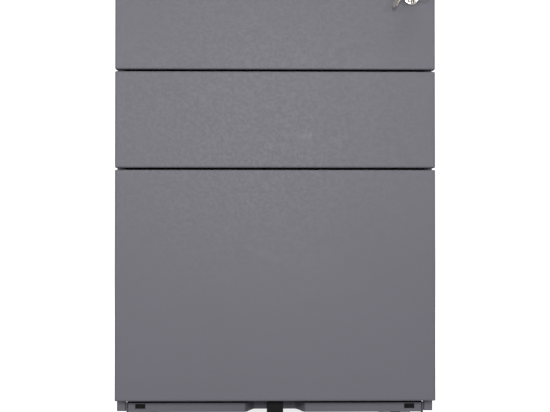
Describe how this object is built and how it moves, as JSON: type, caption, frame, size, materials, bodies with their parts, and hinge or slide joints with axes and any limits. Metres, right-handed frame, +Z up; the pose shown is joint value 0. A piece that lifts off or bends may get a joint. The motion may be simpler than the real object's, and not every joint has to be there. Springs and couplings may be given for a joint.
{
  "type": "filing cabinet",
  "caption": "Mobile pedestal filing cabinet in sheet steel: box drawers over a filing drawer, handle-less fronts, key lock, swivel castors and an anti-tip castor.",
  "frame": {"origin": "on the floor under the middle of the closed cabinet and its key, at the centre of the overall box", "axes": "+X to the right as seen from the front, +Y from the drawer fronts to the back, +Z up"},
  "size_m": [0.39, 0.5286, 0.6],
  "materials": {
    "painted_steel": "satin fine-textured powder coat",
    "zinc_plated_steel": "bright zinc plate",
    "nickel_plate": "nickel plate",
    "black_plastic": "moulded black nylon"
  },
  "bodies": {
    "carcass": {"side_panel_left": "painted_steel", "side_panel_right": "painted_steel", "top_panel": "painted_steel", "back_panel": "painted_steel", "base_pan": "painted_steel", "lock_bar_guide_lower": "black_plastic", "lock_bar_guide_upper": "black_plastic", "top_slide_cabinet_member_left": "zinc_plated_steel", "top_slide_cabinet_member_right": "zinc_plated_steel", "middle_slide_cabinet_member_left": "zinc_plated_steel", "middle_slide_cabinet_member_right": "zinc_plated_steel", "file_slide_cabinet_member_left": "zinc_plated_steel", "file_slide_cabinet_member_right": "zinc_plated_steel", "castor_front_left_mount": "black_plastic", "castor_front_right_mount": "black_plastic", "castor_rear_left_mount": "black_plastic", "castor_rear_right_mount": "black_plastic"},
    "top_drawer": {"top_drawer_front": "painted_steel", "top_drawer_tray": "painted_steel", "top_drawer_back": "painted_steel", "top_slide_drawer_member_left": "zinc_plated_steel", "top_slide_drawer_member_right": "zinc_plated_steel", "lock_barrel": "nickel_plate", "lock_nut": "zinc_plated_steel"},
    "middle_drawer": {"middle_drawer_front": "painted_steel", "middle_drawer_tray": "painted_steel", "middle_drawer_back": "painted_steel", "middle_slide_drawer_member_left": "zinc_plated_steel", "middle_slide_drawer_member_right": "zinc_plated_steel"},
    "file_drawer": {"file_drawer_front": "painted_steel", "file_drawer_tray": "painted_steel", "file_drawer_back": "painted_steel", "file_slide_drawer_member_left": "zinc_plated_steel", "file_slide_drawer_member_right": "zinc_plated_steel", "hanging_file_rail_left": "black_plastic", "hanging_file_rail_right": "black_plastic", "fifth_castor_fork": "black_plastic", "fifth_castor_axle": "zinc_plated_steel"},
    "file_slide_middle_members": {"file_slide_middle_member_left": "zinc_plated_steel", "file_slide_middle_member_right": "zinc_plated_steel"},
    "fifth_castor_wheel": {"fifth_castor_wheel": "black_plastic"},
    "lock_plug": {"lock_plug": "nickel_plate", "lock_cam": "zinc_plated_steel", "key": "nickel_plate"},
    "lock_bar": {"lock_bar": "zinc_plated_steel"},
    "key_ring": {"key_ring": "nickel_plate"},
    "spare_key": {"spare_key": "nickel_plate"},
    "castor_front_left": {"castor_front_left_hood": "black_plastic"},
    "castor_front_left_wheel_left": {"castor_front_left_wheel_left": "black_plastic"},
    "castor_front_left_wheel_right": {"castor_front_left_wheel_right": "black_plastic"},
    "castor_front_right": {"castor_front_right_hood": "black_plastic"},
    "castor_front_right_wheel_left": {"castor_front_right_wheel_left": "black_plastic"},
    "castor_front_right_wheel_right": {"castor_front_right_wheel_right": "black_plastic"},
    "castor_rear_left": {"castor_rear_left_hood": "black_plastic"},
    "castor_rear_left_wheel_left": {"castor_rear_left_wheel_left": "black_plastic"},
    "castor_rear_left_wheel_right": {"castor_rear_left_wheel_right": "black_plastic"},
    "castor_rear_right": {"castor_rear_right_hood": "black_plastic"},
    "castor_rear_right_wheel_left": {"castor_rear_right_wheel_left": "black_plastic"},
    "castor_rear_right_wheel_right": {"castor_rear_right_wheel_right": "black_plastic"}
  },
  "joints": [
    {"name": "top_drawer_slide", "type": "slide", "parent": "carcass", "child": "top_drawer", "axis": [0, -1, 0], "range_m": [0, 0.34]},
    {"name": "middle_drawer_slide", "type": "slide", "parent": "carcass", "child": "middle_drawer", "axis": [0, -1, 0], "range_m": [0, 0.34]},
    {"name": "file_drawer_slide", "type": "slide", "parent": "carcass", "child": "file_drawer", "axis": [0, -1, 0], "range_m": [0, 0.43]},
    {"name": "file_slide_middle", "type": "slide", "parent": "carcass", "child": "file_slide_middle_members", "axis": [0, -1, 0], "range_m": [0, 0.215]},
    {"name": "fifth_castor_roll", "type": "hinge", "parent": "file_drawer", "child": "fifth_castor_wheel", "pos_m": [0, -0.19967, 0.02], "axis": [1, 0, 0], "continuous": true},
    {"name": "lock_turn", "type": "hinge", "parent": "top_drawer", "child": "lock_plug", "pos_m": [0.166, -0.22612, 0.555], "axis": [0, 1, 0], "range_deg": [0, 90]},
    {"name": "lock_bar_drop", "type": "slide", "parent": "carcass", "child": "lock_bar", "axis": [0, 0, 1], "range_m": [-0.01272, 0]},
    {"name": "key_ring_swing", "type": "hinge", "parent": "lock_plug", "child": "key_ring", "pos_m": [0.166, -0.25677, 0.555], "axis": [0, 1, 0], "range_deg": [-100, 20]},
    {"name": "spare_key_swing", "type": "hinge", "parent": "key_ring", "child": "spare_key", "pos_m": [0.16076, -0.25677, 0.56678], "axis": [0, 1, 0], "range_deg": [0, 40]},
    {"name": "castor_front_left_swivel", "type": "hinge", "parent": "carcass", "child": "castor_front_left", "pos_m": [-0.152, -0.18167, 0.04085], "axis": [0, 0, 1], "continuous": true},
    {"name": "castor_front_left_wheel_left_roll", "type": "hinge", "parent": "castor_front_left", "child": "castor_front_left_wheel_left", "pos_m": [-0.1662, -0.16767, 0.0185], "axis": [1, 0, 0], "continuous": true},
    {"name": "castor_front_left_wheel_right_roll", "type": "hinge", "parent": "castor_front_left", "child": "castor_front_left_wheel_right", "pos_m": [-0.1378, -0.16767, 0.0185], "axis": [1, 0, 0], "continuous": true},
    {"name": "castor_front_right_swivel", "type": "hinge", "parent": "carcass", "child": "castor_front_right", "pos_m": [0.152, -0.18167, 0.04085], "axis": [0, 0, 1], "continuous": true},
    {"name": "castor_front_right_wheel_left_roll", "type": "hinge", "parent": "castor_front_right", "child": "castor_front_right_wheel_left", "pos_m": [0.1378, -0.16767, 0.0185], "axis": [1, 0, 0], "continuous": true},
    {"name": "castor_front_right_wheel_right_roll", "type": "hinge", "parent": "castor_front_right", "child": "castor_front_right_wheel_right", "pos_m": [0.1662, -0.16767, 0.0185], "axis": [1, 0, 0], "continuous": true},
    {"name": "castor_rear_left_swivel", "type": "hinge", "parent": "carcass", "child": "castor_rear_left", "pos_m": [-0.152, 0.21233, 0.04085], "axis": [0, 0, 1], "continuous": true},
    {"name": "castor_rear_left_wheel_left_roll", "type": "hinge", "parent": "castor_rear_left", "child": "castor_rear_left_wheel_left", "pos_m": [-0.1662, 0.22633, 0.0185], "axis": [1, 0, 0], "continuous": true},
    {"name": "castor_rear_left_wheel_right_roll", "type": "hinge", "parent": "castor_rear_left", "child": "castor_rear_left_wheel_right", "pos_m": [-0.1378, 0.22633, 0.0185], "axis": [1, 0, 0], "continuous": true},
    {"name": "castor_rear_right_swivel", "type": "hinge", "parent": "carcass", "child": "castor_rear_right", "pos_m": [0.152, 0.21233, 0.04085], "axis": [0, 0, 1], "continuous": true},
    {"name": "castor_rear_right_wheel_left_roll", "type": "hinge", "parent": "castor_rear_right", "child": "castor_rear_right_wheel_left", "pos_m": [0.1378, 0.22633, 0.0185], "axis": [1, 0, 0], "continuous": true},
    {"name": "castor_rear_right_wheel_right_roll", "type": "hinge", "parent": "castor_rear_right", "child": "castor_rear_right_wheel_right", "pos_m": [0.1662, 0.22633, 0.0185], "axis": [1, 0, 0], "continuous": true}
  ],
  "couplings": [
    {"joint": "file_slide_middle", "follows": "file_drawer_slide", "ratio": 0.5},
    {"joint": "lock_turn", "follows": "lock_bar_drop", "rad_per_m": -123.46}
  ]
}
